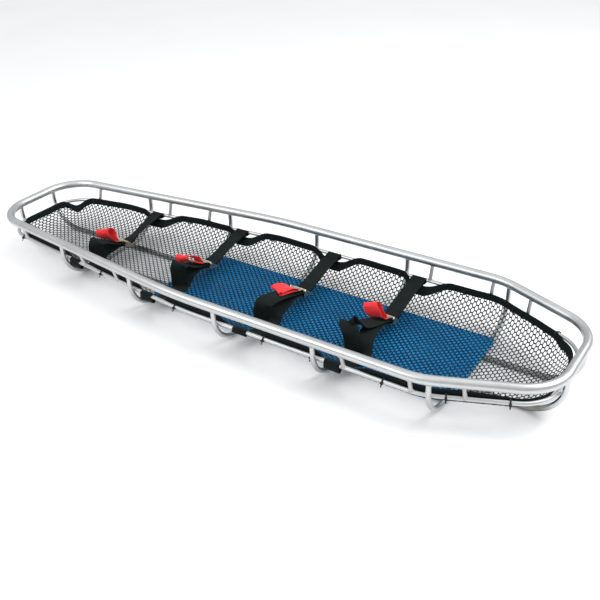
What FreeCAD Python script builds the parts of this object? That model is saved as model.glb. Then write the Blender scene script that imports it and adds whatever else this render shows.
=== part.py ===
import FreeCAD, Part
import math
import os

from FreeCAD import Placement, Rotation, Vector

# Tapered basket rescue litter: a rigid tube frame with a net basket, a back panel and four buckled straps.
# +X is the head end, -X the foot end, +Y the left side seen from the foot end, +Z up, floor at Z = 0.

doc = FreeCAD.newDocument("basket_litter")
sheet = doc.addObject("Spreadsheet::Sheet", "Sizes")

SIZES = [
    ("overall_length", 2134), ("rail_dia", 28.6), ("rail_wall", 1.65), ("rail_height", 152.5),
    ("half_width", 292.2), ("foot_half", 183), ("head_half", 160), ("bend_x", -114), ("taper_x", 734),
    ("foot_corner", 135), ("head_corner", 141), ("bend_radius", 1900), ("taper_radius", 223),
    ("rib_dia", 15.9), ("rib_wall", 1.2), ("rib_bend", 107), ("runner_offset", 80),
    ("net_rail_dia", 12.7), ("net_rail_wall", 1.2), ("net_rail_height", 90), ("net_rail_inset", 17.6),
    ("sleeve_length", 50), ("sleeve_wall", 1.5), ("joint_offset", 40),
    ("net_floor_low", 24.9), ("net_thick", 3), ("net_floor_inset", 120),
    ("panel_length", 1095), ("panel_width", 340), ("panel_thick", 6), ("panel_foot_x", -325),
    ("panel_corner", 25), ("binding_low", 79), ("binding_high", 101), ("binding_gap", 64),
    ("tie_width", 4.8), ("tie_band", 1.2),
    ("strap_width", 50), ("strap_thick", 2), ("wrap_gap", 0.4), ("buckle_tilt", 22),
    ("buckle_z", 58), ("cheek_span", 60), ("cheek_thick", 2.5),
    ("mid_bar_r", 3), ("far_bar_r", 2.5), ("bar_span", 20), ("cam_pin_r", 2), ("cam_bore_r", 2.05),
    ("cam_barrel_r", 5.5), ("cam_barrel_width", 44), ("slot_width", 38),
    ("pull_width", 36), ("spring_coil_r", 3.4), ("spring_wire_r", 0.5), ("spring_pitch", 1.25),
]
for row, (alias, value) in enumerate(SIZES, start=1):
    sheet.set("A%d" % row, alias)
    sheet.set("B%d" % row, str(value))
    sheet.setAlias("B%d" % row, alias)
doc.recompute()


def size(alias):
    """One driving dimension, in millimetres or degrees."""
    return float(sheet.get(alias))


RIB_X = [-670, -314, 50, 403, 755]
POST_X = [-905, -572, -397, 494, 702, 837]
STRAP_X = [-622, -250, 135, 458]
BUCKLE_Y = [5, 35, 45, 45]
TIE_X = [-930, -483, -124, 222, 390, 618, 798, 950]
SIDES = {"left": 1, "right": -1}

rail_r = size("rail_dia") / 2
rib_r = size("rib_dia") / 2
net_rail_r = size("net_rail_dia") / 2
half_length = size("overall_length") / 2 - rail_r
wrap_r = net_rail_r + size("wrap_gap")

parts = {}


def keep(obj, label):
    """Give a finished object its node name and put it on the export list."""
    obj.Label = label
    parts[label] = obj
    return obj


# ---------------------------------------------------------------- plan outline

def unit(vector):
    return Vector(vector).normalize()


def outline(inset):
    """Rounded corners of the plan, anticlockwise from the right foot corner, as (start, middle, end)."""
    right = [
        (-half_length, -size("foot_half"), size("foot_corner")),
        (size("bend_x"), -size("half_width"), size("bend_radius")),
        (size("taper_x"), -size("half_width"), size("taper_radius")),
        (half_length, -size("head_half"), size("head_corner")),
    ]
    corners = right + [(x, -y, radius) for x, y, radius in reversed(right)]
    points = [Vector(x, y, 0) for x, y, radius in corners]
    count = len(points)
    arcs = []
    for index, (x, y, radius) in enumerate(corners):
        here = points[index]
        into = unit(here - points[index - 1])
        out = unit(points[(index + 1) % count] - here)
        inward_a = Vector(-into.y, into.x, 0)
        inward_b = Vector(-out.y, out.x, 0)
        bisector = inward_a + inward_b
        corner = here + bisector * (inset / (1 + inward_a.dot(inward_b)))
        radius_in = radius - inset
        half_turn = math.acos(max(-1, min(1, into.dot(out)))) / 2
        reach = radius_in * math.tan(half_turn)
        centre = corner + unit(bisector) * (radius_in / math.cos(half_turn))
        arcs.append((corner - into * reach, centre - unit(bisector) * radius_in, corner + out * reach))
    return arcs


def lifted(point, height):
    return Vector(point.x, point.y, height)


def plan_edges(inset, height, first, last):
    """Edges through corner arcs first to last, with a short straight leg or a joint at each end."""
    arcs = outline(inset)
    count = len(arcs)
    leg = size("joint_offset")
    order = [(first + step) % count for step in range((last - first) % count + 1)]
    before = arcs[(order[0] - 1) % count][2]
    after = arcs[(order[-1] + 1) % count][0]
    start = arcs[order[0]][0]
    end = arcs[order[-1]][2]
    if order[0] in (3, 7):
        cursor = start - unit(start - before) * leg
    else:
        cursor = before + unit(start - before) * leg
    if order[-1] in (0, 4):
        finish = end + unit(after - end) * leg
    else:
        finish = after - unit(after - end) * leg
    edges = []
    for index in order:
        a, m, b = (lifted(point, height) for point in arcs[index])
        edges.append(Part.LineSegment(lifted(cursor, height), a).toShape())
        edges.append(Part.Arc(a, m, b).toShape())
        cursor = b
    edges.append(Part.LineSegment(lifted(cursor, height), lifted(finish, height)).toShape())
    return edges


RUNS = {"right": (1, 2), "head": (3, 4), "left": (5, 6), "foot": (7, 0)}


def side_frame(x, inset):
    """Point on the right side's inset outline at x, and the direction of the side there."""
    arcs = outline(inset)
    edges = []
    for index in range(4):
        a, m, b = arcs[index]
        edges.append(Part.Arc(a, m, b).toShape())
        edges.append(Part.LineSegment(b, arcs[index + 1][0]).toShape())
    probe = Part.LineSegment(Vector(x, -2 * size("half_width"), 0), Vector(x, -1, 0)).toShape()
    for edge in edges:
        gap, pairs, info = edge.distToShape(probe)
        if gap < 1e-6:
            point = pairs[0][0]
            tangent = edge.tangentAt(edge.Curve.parameter(point))
            return point, tangent if tangent.x > 0 else tangent * -1
    raise ValueError("no side at x = %s" % x)


def half_width_at(x, inset=0):
    return -side_frame(x, inset)[0].y


# ---------------------------------------------------------------- tubes

def swept(label, edges, section):
    """Solid made by carrying one closed section along a tangent run of edges."""
    spine = doc.addObject("Part::Feature", label + "_centre_line")
    spine.Shape = Part.Wire(edges)
    sweep = doc.addObject("Part::Sweep", label + "_sweep")
    sweep.Sections = [section]
    sweep.Spine = (spine, ["Edge%d" % (number + 1) for number in range(len(edges))])
    sweep.Solid = True
    sweep.Frenet = False
    return sweep


def ring_at(label, edges, radius):
    """Circle square to the start of a run, its radius an expression."""
    first = edges[0]
    start = first.Vertexes[0].Point
    ring = doc.addObject("Part::Circle", label + "_ring")
    ring.setExpression("Radius", radius)
    ring.Placement = Placement(start, Rotation(Vector(0, 0, 1), first.tangentAt(first.FirstParameter)))
    return ring


def cut(label, base, tools):
    """Base minus each tool in turn."""
    for number, tool in enumerate(tools):
        step = doc.addObject("Part::Cut", "%s_cut_%d" % (label, number))
        step.Base = base
        step.Tool = tool
        base = step
    return base


def tube(label, edges, dia, wall, notches=()):
    """Hollow bent tube, and the solid of its outside that other tubes are coped against."""
    outside = swept(label + "_outside", edges, ring_at(label + "_outside", edges, "Sizes.%s / 2" % dia))
    inner = "Sizes.%s / 2 - Sizes.%s" % (dia, wall)
    inside = swept(label + "_inside", edges, ring_at(label + "_inside", edges, inner))
    keep(cut(label, outside, [inside] + list(notches)), label)
    return outside


def rod(label, start, end, radius):
    """Straight round rod between two points, its radius an expression."""
    cylinder = doc.addObject("Part::Cylinder", label)
    cylinder.setExpression("Radius", radius)
    cylinder.Height = (end - start).Length
    cylinder.Placement = Placement(start, Rotation(Vector(0, 0, 1), end - start))
    return cylinder


def group(label, members):
    """Separate solids of one kind in one node."""
    compound = doc.addObject("Part::Compound", label)
    compound.Links = members
    return keep(compound, label)


def u_bend(point_at, half_span, top, bottom, radius):
    """Edges of a wide U: down, round, across, round and up. point_at(across, height) gives a point."""
    turn = radius * (1 - math.sqrt(0.5))
    low = half_span - radius
    marks = [
        point_at(-half_span, top), point_at(-half_span, bottom + radius),
        point_at(-half_span + turn, bottom + turn), point_at(-low, bottom),
        point_at(low, bottom), point_at(half_span - turn, bottom + turn),
        point_at(half_span, bottom + radius), point_at(half_span, top),
    ]
    return [
        Part.LineSegment(marks[0], marks[1]).toShape(),
        Part.Arc(marks[1], marks[2], marks[3]).toShape(),
        Part.LineSegment(marks[3], marks[4]).toShape(),
        Part.Arc(marks[4], marks[5], marks[6]).toShape(),
        Part.LineSegment(marks[6], marks[7]).toShape(),
    ]


# ---------------------------------------------------------------- sketched pieces

def sketched_body(label, pads, place):
    """Body of sketched YZ outlines, each padded evenly about the body's own YZ plane.

    pads holds (loops, length expression) for material and (loops, length expression, True) for pockets.
    """
    body = doc.addObject("PartDesign::Body", label)
    plane = [feature for feature in body.Origin.OriginFeatures if feature.Role == "YZ_Plane"][0]
    for number, (loops, length, *pocket) in enumerate(pads):
        sketch = body.newObject("Sketcher::SketchObject", "%s_outline_%d" % (label, number))
        sketch.AttachmentSupport = [(plane, "")]
        sketch.MapMode = "FlatFace"
        for loop in loops:
            sketch.addGeometry(loop, False)
        kind = "PartDesign::Pocket" if pocket else "PartDesign::Pad"
        feature = body.newObject(kind, "%s_feature_%d" % (label, number))
        feature.Profile = sketch
        feature.SideType = "Symmetric"
        feature.setExpression("Length", length)
    body.Placement = place
    return body


def closed(points):
    """Line segments round a list of (y, z) points."""
    corners = [Vector(y, z, 0) for y, z in points]
    return [Part.LineSegment(a, b) for a, b in zip(corners, corners[1:] + corners[:1])]


def circle(y, z, radius):
    return [Part.Circle(Vector(y, z, 0), Vector(0, 0, 1), radius)]


def capsule(y, low, high, radius):
    """Upright slot outline about two centres."""
    top, bottom = Vector(y, high, 0), Vector(y, low, 0)
    side = Vector(radius, 0, 0)
    up = Vector(0, radius, 0)
    return [
        Part.Arc(top + side, top + up, top - side),
        Part.LineSegment(top - side, bottom - side),
        Part.Arc(bottom - side, bottom - up, bottom + side),
        Part.LineSegment(bottom + side, top + side),
    ]


def offset_side(path, distance, is_loop):
    """Points beside a (y, z) path, mitred at its turns."""
    count = len(path)
    found = []
    for index in range(count):
        here = Vector(*path[index], 0)
        before = Vector(*path[index - 1], 0)
        after = Vector(*path[(index + 1) % count], 0)
        into = unit(here - before) if is_loop or index > 0 else unit(after - here)
        out = unit(after - here) if is_loop or index < count - 1 else into
        normal_a = Vector(-into.y, into.x, 0)
        normal_b = Vector(-out.y, out.x, 0)
        point = here + (normal_a + normal_b) * (distance / (1 + normal_a.dot(normal_b)))
        found.append((point.x, point.y))
    return found


def ribbon(path, thick):
    """Outline of webbing of even thickness along an open path."""
    one_side = offset_side(path, thick / 2, False)
    other_side = offset_side(path, -thick / 2, False)
    return [closed(one_side + other_side[::-1])]


# ---------------------------------------------------------------- frame

def top_rail():
    """Hand rail in four bent lengths, butted at sleeves."""
    skins = {}
    for name, (first, last) in RUNS.items():
        edges = plan_edges(0, size("rail_height"), first, last)
        skins[name] = tube("top_rail_" + name, edges, "rail_dia", "rail_wall")
    sleeves = []
    reach = size("sleeve_length") / 2
    for number, (first, last) in enumerate([RUNS["head"], RUNS["foot"]]):
        edges = plan_edges(0, size("rail_height"), first, last)
        for end, edge in enumerate((edges[0], edges[-1])):
            point = edge.Vertexes[0].Point if end == 0 else edge.Vertexes[-1].Point
            along = unit(edge.Vertexes[-1].Point - edge.Vertexes[0].Point) * reach
            name = "sleeve_%d_%d" % (number, end)
            bore = "Sizes.rail_dia / 2 - Sizes.rail_wall - 0.1"
            outer = rod(name, point - along, point + along, bore)
            inner = rod(name + "_bore", point - along, point + along, bore + " - Sizes.sleeve_wall")
            sleeves.append(cut(name, outer, [inner]))
    group("rail_splice_sleeves", sleeves)
    return skins


def runners(skins):
    """Two lengthwise skids that rise at both ends to the hand rail."""
    outsides = []
    top = size("rail_height") - rail_r / 2
    for side, sign in SIDES.items():
        y = sign * size("runner_offset")
        edges = u_bend(lambda across, height: Vector(across, y, height), half_length, top, rib_r,
                       size("rib_bend"))
        outsides.append(tube("runner_" + side, edges, "rib_dia", "rib_wall", [skins["head"], skins["foot"]]))
    return outsides


def ribs(skins, runner_skins):
    """Five cross ribs, coped to the hand rail above and to the runners below."""
    top = size("rail_height") - rail_r / 2
    for number, x in enumerate(RIB_X, start=1):
        edges = u_bend(lambda across, height: Vector(x, across, height), half_width_at(x), top, rib_r,
                       size("rib_bend"))
        notches = [skins["left"], skins["right"]] + runner_skins
        tube("rib_%d" % number, edges, "rib_dia", "rib_wall", notches)


def net_rail():
    """Thinner rail below the hand rail that carries the net, in four bent lengths."""
    skins = {}
    for name, (first, last) in RUNS.items():
        edges = plan_edges(size("net_rail_inset"), size("net_rail_height"), first, last)
        skins[name] = tube("net_rail_" + name, edges, "net_rail_dia", "net_rail_wall")
    return skins


def posts(skins, net_skins):
    """Short struts between the hand rail and the net rail."""
    for side, sign in SIDES.items():
        struts = []
        for number, x in enumerate(POST_X, start=1):
            top = Vector(x, sign * half_width_at(x), size("rail_height"))
            foot = Vector(x, sign * half_width_at(x, size("net_rail_inset")), size("net_rail_height"))
            name = "post_%s_%d" % (side, number)
            outer = rod(name, foot, top, "Sizes.net_rail_dia / 2")
            inner = rod(name + "_bore", foot, top, "Sizes.net_rail_dia / 2 - Sizes.net_rail_wall")
            ends = [inner, skins[side], net_skins[side]]
            if x < RIB_X[0] or x > RIB_X[-1]:
                end_name = "foot" if x < 0 else "head"
                ends += [skins[end_name], net_skins[end_name]]
            struts.append(cut(name, outer, ends))
        group("posts_" + side, struts)


# ---------------------------------------------------------------- net and panel

def profile_at(label, edges, points):
    """Section of (inset beyond the run, height) points at the start of a plan run."""
    first = edges[0]
    start = first.Vertexes[0].Point
    along = first.tangentAt(first.FirstParameter)
    inward = Vector(-along.y, along.x, 0)
    corners = [Vector(start.x, start.y, 0) + inward * across + Vector(0, 0, height) for across, height in points]
    section = doc.addObject("Part::Feature", label + "_section")
    section.Shape = Part.makePolygon(corners + corners[:1])
    return section


def net_basket():
    """Net in a floor and four walls that hang from the net rail in a shallow curve, and its tape edge."""
    floor_inset = size("net_floor_inset")
    low = size("net_floor_low")
    high = low + size("net_thick")
    wall = [(27, 75.5), (45.5, 55.5), (71, 38.5), (floor_inset, low),
            (floor_inset, high + 0.5), (72, 41.8), (47.6, 57.8), (30, 75.5)]
    tape = [(24.4, size("binding_low")), (28.4, size("binding_low")),
            (28.4, size("binding_high")), (24.4, size("binding_high"))]
    spine_inset = size("net_rail_inset")
    for name, (first, last) in RUNS.items():
        edges = plan_edges(spine_inset, 0, first, last)
        label = "net_wall_" + name
        section = profile_at(label, edges, [(across - spine_inset, height) for across, height in wall])
        keep(swept(label, edges, section), label)
        label = "net_binding_" + name
        section = profile_at(label, edges, [(across - spine_inset, height) for across, height in tape])
        windows = []
        if name in SIDES:
            for number, x in enumerate(STRAP_X):
                window = doc.addObject("Part::Box", "%s_window_%d" % (label, number))
                window.setExpression("Length", "Sizes.binding_gap")
                window.Width = 80
                window.Height = 80
                start_y = SIDES[name] * half_width_at(x, spine_inset) - window.Width.Value / 2
                window.Placement.Base = Vector(x - size("binding_gap") / 2, start_y, size("binding_low") - 20)
                windows.append(window)
        keep(cut(label, swept(label, edges, section), windows), label)
    arcs = outline(floor_inset + 0.3)
    edges = []
    for index, (a, m, b) in enumerate(arcs):
        edges.append(Part.Arc(a, m, b).toShape())
        edges.append(Part.LineSegment(b, arcs[(index + 1) % len(arcs)][0]).toShape())
    rim = doc.addObject("Part::Feature", "net_floor_rim")
    rim.Shape = Part.Face(Part.Wire(edges))
    rim.Placement.Base = Vector(0, 0, low)
    floor = doc.addObject("Part::Extrusion", "net_floor_sheet")
    floor.Base = rim
    floor.DirMode = "Custom"
    floor.Dir = Vector(0, 0, 1)
    floor.setExpression("LengthFwd", "Sizes.net_thick")
    floor.Solid = True
    keep(floor, "net_floor")


def back_panel():
    """Stiff back support that lies on ribs two to five, under the net."""
    slab = doc.addObject("Part::Box", "back_panel_slab")
    slab.setExpression("Length", "Sizes.panel_length")
    slab.setExpression("Width", "Sizes.panel_width")
    slab.setExpression("Height", "Sizes.panel_thick")
    slab.Placement.Base = Vector(size("panel_foot_x"), -size("panel_width") / 2, size("rib_dia") + 0.4)
    doc.recompute()
    upright = [number for number, edge in enumerate(slab.Shape.Edges, start=1)
               if abs(edge.tangentAt(edge.FirstParameter).z) > 0.9]
    rounded = doc.addObject("Part::Fillet", "back_panel_rounded")
    rounded.Base = slab
    rounded.Edges = [(number, size("panel_corner"), size("panel_corner")) for number in upright]
    keep(rounded, "back_panel")


def cable_ties():
    """Ties that lash the net's tape edge to the net rail: a band, a locking head and a short tail."""
    band = size("tie_band")
    width = size("tie_width")
    low, high = size("binding_low") - 1.4, size("binding_high") + 0.6
    inner_y, outer_y = 11.4, -6.7
    drop = size("net_rail_height")
    for side, sign in SIDES.items():
        ties = []
        for number, x in enumerate(TIE_X):
            point, along = side_frame(x, size("net_rail_inset"))
            turn = math.degrees(math.atan2(along.y, along.x))
            if sign > 0:
                place = Placement(Vector(x, -point.y, drop), Rotation(Vector(0, 0, 1), 180 - turn))
            else:
                place = Placement(Vector(x, point.y, drop), Rotation(Vector(0, 0, 1), turn))
            boxes = [
                (width, outer_y - band, inner_y + band, low - band - drop, high + band - drop),
                (width, outer_y, inner_y, low - drop, high - drop),
                (width + 2, outer_y - band - 4, outer_y - band / 2, -4, 2),
                (width - 1.5, outer_y - band - 3, outer_y - band - 1.5, -16, -3),
            ]
            made = []
            for part_number, (span, y_low, y_high, z_low, z_high) in enumerate(boxes):
                box = doc.addObject("Part::Box", "tie_%s_%d_%d" % (side, number, part_number))
                box.Length = span
                box.Width = y_high - y_low
                box.Height = z_high - z_low
                box.Placement = place.multiply(Placement(Vector(-span / 2, y_low, z_low), Rotation()))
                made.append(box)
            loop = cut("tie_%s_%d" % (side, number), made[0], [made[1]])
            whole = doc.addObject("Part::MultiFuse", "tie_%s_%d_whole" % (side, number))
            whole.Shapes = [loop] + made[2:]
            ties.append(whole)
        group("cable_ties_" + side, ties)


# ---------------------------------------------------------------- straps and buckles

def tilted(number, y, z):
    """World (y, z) of a point given in a buckle's own plane."""
    turn = math.radians(-size("buckle_tilt"))
    return (BUCKLE_Y[number - 1] + y * math.cos(turn) - z * math.sin(turn),
            size("buckle_z") + y * math.sin(turn) + z * math.cos(turn))


def rail_loop(label, number, x, side, drop):
    """Upright outer loop of webbing round a net rail, square to the rail, and the bore inside it."""
    point, along = side_frame(x, size("net_rail_inset"))
    sign = SIDES[side]
    turn = -sign * math.degrees(math.atan2(along.y, along.x))
    place = Placement(Vector(x, sign * -point.y, 0), Rotation(Vector(0, 0, 1), turn))
    height = size("net_rail_height")
    made = []
    for name, radius, length in (("loop", wrap_r + size("strap_thick"), "Sizes.strap_width"),
                                 ("bore", wrap_r, "Sizes.strap_width + 20")):
        outline_yz = capsule(0, height - drop, height, radius) if drop else circle(0, height, radius)
        made.append(sketched_body("%s_%s_%d" % (label, name, number), [([outline_yz], length)], place))
    return made


def looped_strap(label, number, x, side, drop, pads):
    """Strap joined to its loop round a net rail."""
    band = sketched_body("%s_band_%d" % (label, number), pads, Placement(Vector(x, 0, 0), Rotation()))
    loop, bore = rail_loop(label, number, x, side, drop)
    joined = doc.addObject("Part::MultiFuse", "%s_joined_%d" % (label, number))
    joined.Shapes = [band, loop]
    keep(cut("%s_%d" % (label, number), joined, [bore]), "%s_%d" % (label, number))


def far_strap(number, x):
    """Strap from the left net rail to the buckle's end bar, looped round both."""
    thick = size("strap_thick")
    rail_y, rail_z = half_width_at(x, size("net_rail_inset")), size("net_rail_height")
    bar_y, bar_z = tilted(number, size("bar_span"), 0)
    bar_wrap = size("far_bar_r") + 0.3
    band = [(rail_y, rail_z + wrap_r + thick / 2), (bar_y, bar_z + bar_wrap + thick / 2)]
    pads = [
        (ribbon(band, thick), "Sizes.strap_width"),
        ([circle(bar_y, bar_z, bar_wrap + thick)], "Sizes.strap_width"),
        ([circle(bar_y, bar_z, bar_wrap)], "Sizes.strap_width + 2", True),
    ]
    looped_strap("far_strap", number, x, "left", 0, pads)


def near_strap(number, x):
    """Strap from a slack loop on the right net rail, up the net, over in a slack arch, round the buckle's
    middle bar and back as a free tail."""
    thick = size("strap_thick")
    slope = side_frame(x, 0)[1]
    lean = size("strap_width") / 2 * abs(slope.y / slope.x)
    edge = half_width_at(x) - lean
    layer = size("mid_bar_r") + 0.3 + thick / 2
    bend = [tilted(number, layer * math.sin(math.radians(a)), -layer * math.cos(math.radians(a)))
            for a in range(0, 181, 30)]
    buckle_y = BUCKLE_Y[number - 1]
    wide = 233
    share = min(wide, edge - 84 + buckle_y) / wide
    arch = [(215, 38), (205, 54), (196, 76), (177, 92), (140, 97), (93, 89)]
    tail = [(95, 99), (140, 107), (181, 103), (203, 90)]
    low = arch[0][1]
    rise = 0.6 + 0.4 * share
    arch_path = [(buckle_y - back * share, low + (height - low) * rise) for back, height in arch]
    tail_start = tail[0][0]
    tail_path = [(buckle_y - tail_start - (back - tail_start) * share, height) for back, height in tail]
    path = [
        (-(edge - 25.4), 88), (-(edge - 33), 76.5), (-(edge - 50), 60), (-(edge - 73), 45.5),
    ] + arch_path + [(buckle_y - 50, 75), tilted(number, -30, -layer)] + bend
    path += [tilted(number, -30, layer), (buckle_y - 54, 85)] + tail_path
    looped_strap("near_strap", number, x, "right", 18, [(ribbon(path, thick), "Sizes.strap_width")])


PIN_Y, PIN_Z = -8, 12.5
PADDLE_END = -44
SLOT = (-39, -36)


def buckle(number, x):
    """Cam buckle: cheeks and bars, a toothed lever on a pin, and a webbing pull loop on the lever."""
    place = Placement(Vector(x, BUCKLE_Y[number - 1], size("buckle_z")),
                      Rotation(Vector(1, 0, 0), -size("buckle_tilt")))
    span = size("bar_span")
    cheek = closed([(span + 5, -5), (span + 5, 5), (0, 14), (PIN_Y + 3, 18), (PIN_Y - 5, 18),
                    (PIN_Y - 7, 12), (PIN_Y - 4, -5)])
    gap = "Sizes.cheek_span - 2 * Sizes.cheek_thick"
    frame_pads = [
        ([cheek, circle(PIN_Y, PIN_Z, size("cam_pin_r"))], "Sizes.cheek_span"),
        ([closed([(span + 9, -9), (span + 9, 22), (PIN_Y - 12, 22), (PIN_Y - 12, -9)])], gap, True),
        ([circle(0, 0, size("mid_bar_r"))], gap + " + 2"),
        ([circle(span, 0, size("far_bar_r"))], gap + " + 2"),
    ]
    label = "buckle_frame_%d" % number
    keep(sketched_body(label, frame_pads, place), label)

    barrel = [circle(PIN_Y, PIN_Z, size("cam_barrel_r")), circle(PIN_Y, PIN_Z, size("cam_bore_r"))]
    teeth = closed([(PIN_Y - 3, PIN_Z - 3.9), (PIN_Y - 1.6, PIN_Z - 6.6), (PIN_Y, PIN_Z - 5.2),
                    (PIN_Y + 1.6, PIN_Z - 6.6), (PIN_Y + 3, PIN_Z - 3.9)])
    paddle = closed([(PIN_Y - 3.5, PIN_Z + 1), (PADDLE_END, PIN_Z + 0.5), (PADDLE_END, PIN_Z + 3),
                     (PIN_Y - 3.5, PIN_Z + 4)])
    slot = closed([(SLOT[0], PIN_Z - 3), (SLOT[1], PIN_Z - 3), (SLOT[1], PIN_Z + 6), (SLOT[0], PIN_Z + 6)])
    lever_pads = [
        (barrel, "Sizes.cam_barrel_width"),
        ([teeth], "Sizes.cam_barrel_width"),
        ([paddle], "Sizes.cam_barrel_width"),
        ([slot], "Sizes.slot_width", True),
    ]
    label = "cam_lever_%d" % number
    keep(sketched_body(label, lever_pads, place), label)

    loop = [(-37.5, 14.3), (-38.3, 18.6), (-50, 22), (-74, 29), (-92, 33), (-102, 31), (-105, 24),
            (-98, 17.5), (-75, 14.5), (-52, 11.4), (-40, 9.8), (-37.7, 11.4)]
    webbing = 1.8
    sides = [closed(offset_side(loop, distance, True)) for distance in (webbing / 2, -webbing / 2)]
    label = "pull_loop_%d" % number
    keep(sketched_body(label, [(sides, "Sizes.pull_width")], place), label)


def pins_and_springs():
    """Cam pins through the cheeks, and the torsion spring coils on each side of a lever's barrel."""
    pins = []
    coils = []
    for number, x in enumerate(STRAP_X, start=1):
        y, z = tilted(number, PIN_Y, PIN_Z)
        reach = size("cheek_span") / 2 + 1
        pins.append(rod("cam_pin_%d" % number, Vector(x - reach, y, z), Vector(x + reach, y, z),
                        "Sizes.cam_pin_r"))
        for sign in (-1, 1):
            for turn in range(3):
                coil = doc.addObject("Part::Torus", "coil_%d_%d_%d" % (number, sign + 1, turn))
                coil.setExpression("Radius1", "Sizes.spring_coil_r")
                coil.setExpression("Radius2", "Sizes.spring_wire_r")
                shift = size("cam_barrel_width") / 2 + 1 + turn * size("spring_pitch")
                coil.Placement = Placement(Vector(x + sign * shift, y, z),
                                           Rotation(Vector(0, 0, 1), Vector(1, 0, 0)))
                coils.append(coil)
    group("cam_pins", pins)
    group("cam_springs", coils)


# ---------------------------------------------------------------- build, check and write

rail_skins = top_rail()
runner_skins = runners(rail_skins)
ribs(rail_skins, runner_skins)
net_rail_skins = net_rail()
posts(rail_skins, net_rail_skins)
net_basket()
back_panel()
cable_ties()
for set_number, strap_x in enumerate(STRAP_X, start=1):
    far_strap(set_number, strap_x)
    near_strap(set_number, strap_x)
    buckle(set_number, strap_x)
pins_and_springs()
doc.recompute()

for obj in doc.Objects:
    if "Invalid" in obj.State or "Error" in obj.State:
        raise RuntimeError("failed object: %s %s" % (obj.Label, obj.State))
for label, obj in parts.items():
    if obj.Shape.isNull() or not obj.Shape.isValid() or not obj.Shape.Solids:
        raise RuntimeError("bad shape: " + label)

os.makedirs("parts", exist_ok=True)
for label, obj in parts.items():
    obj.Shape.exportStep("parts/%s.step" % label)
    print("%-22s solids %2d  volume %9.0f mm3" % (label, len(obj.Shape.Solids), obj.Shape.Volume))
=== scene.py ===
"""Looks for the tapered basket litter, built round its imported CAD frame.

Lengths are in millimetres and become metres where a mesh is made.
+X is the head end, -X the foot end, +Y the left side, +Z up, and the floor is at Z = 0.
"""

import math

import bpy
import numpy as np
from mathutils import Matrix, Vector
from mathutils.kdtree import KDTree


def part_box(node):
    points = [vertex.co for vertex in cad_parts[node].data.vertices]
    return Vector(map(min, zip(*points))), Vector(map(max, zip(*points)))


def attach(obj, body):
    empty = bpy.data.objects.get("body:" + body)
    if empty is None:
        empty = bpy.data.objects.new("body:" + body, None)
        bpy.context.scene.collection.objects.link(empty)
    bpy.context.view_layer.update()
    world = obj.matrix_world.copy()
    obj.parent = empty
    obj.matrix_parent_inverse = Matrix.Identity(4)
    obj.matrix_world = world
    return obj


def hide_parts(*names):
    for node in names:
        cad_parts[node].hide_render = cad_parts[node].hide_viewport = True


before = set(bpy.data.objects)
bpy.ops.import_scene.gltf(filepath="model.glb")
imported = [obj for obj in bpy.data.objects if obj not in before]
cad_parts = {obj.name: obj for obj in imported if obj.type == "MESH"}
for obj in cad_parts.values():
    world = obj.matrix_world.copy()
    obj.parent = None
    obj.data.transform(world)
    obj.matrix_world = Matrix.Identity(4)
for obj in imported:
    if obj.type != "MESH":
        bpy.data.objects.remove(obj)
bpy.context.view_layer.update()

MM = 0.001
STRAPS = (1, 2, 3, 4)
BODY = "frame"
RUNS = ("right", "head", "left", "foot")
SIDES = {"left": 1, "right": -1}


def node_box(node):
    """Lowest and highest corner of a CAD node, in millimetres."""
    low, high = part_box(node)
    return np.array(low) / MM, np.array(high) / MM


def unit(vectors):
    vectors = np.asarray(vectors, float)
    return vectors / np.maximum(np.linalg.norm(vectors, axis=-1, keepdims=True), 1e-12)


def smooth_step(value):
    value = np.clip(value, 0, 1)
    return value * value * (3 - 2 * value)


# ---------------------------------------------------------------- sizes shared with the CAD part

HALF_LENGTH = 1052.7
HALF_WIDTH = 292.2
PLAN = [(-HALF_LENGTH, 183, 135), (-114, HALF_WIDTH, 1900), (734, HALF_WIDTH, 223), (HALF_LENGTH, 160, 141)]
RAIL_R = 14.3
RAIL_Z = 152.5
NET_RAIL_R = 6.35
NET_RAIL_Z = 90
NET_RAIL_INSET = 17.6
RIB_R = 7.95
RUNNER_Y = 80
RIB_X = (-670, -314, 50, 403, 755)
POST_X = (-905, -572, -397, 494, 702, 837)
TIE_X = (-930, -483, -124, 222, 390, 618, 798, 950)
STRAP_X = [float(np.mean([corner[0] for corner in node_box(f"buckle_frame_{i}")])) for i in STRAPS]
STRAP_WIDTH = 50
STRAP_THICK = 1.8
MIDDLE_BAR_R, END_BAR_R = 3.3, 2.5
BUCKLE_Z, BUCKLE_TILT = 58, math.radians(22)
CHEEK_REACH = 25 * math.cos(BUCKLE_TILT) + 5 * math.sin(BUCKLE_TILT)
BUCKLE_Y = [node_box(f"buckle_frame_{i}")[1][1] - CHEEK_REACH for i in STRAPS]


# ---------------------------------------------------------------- plan outline

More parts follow.
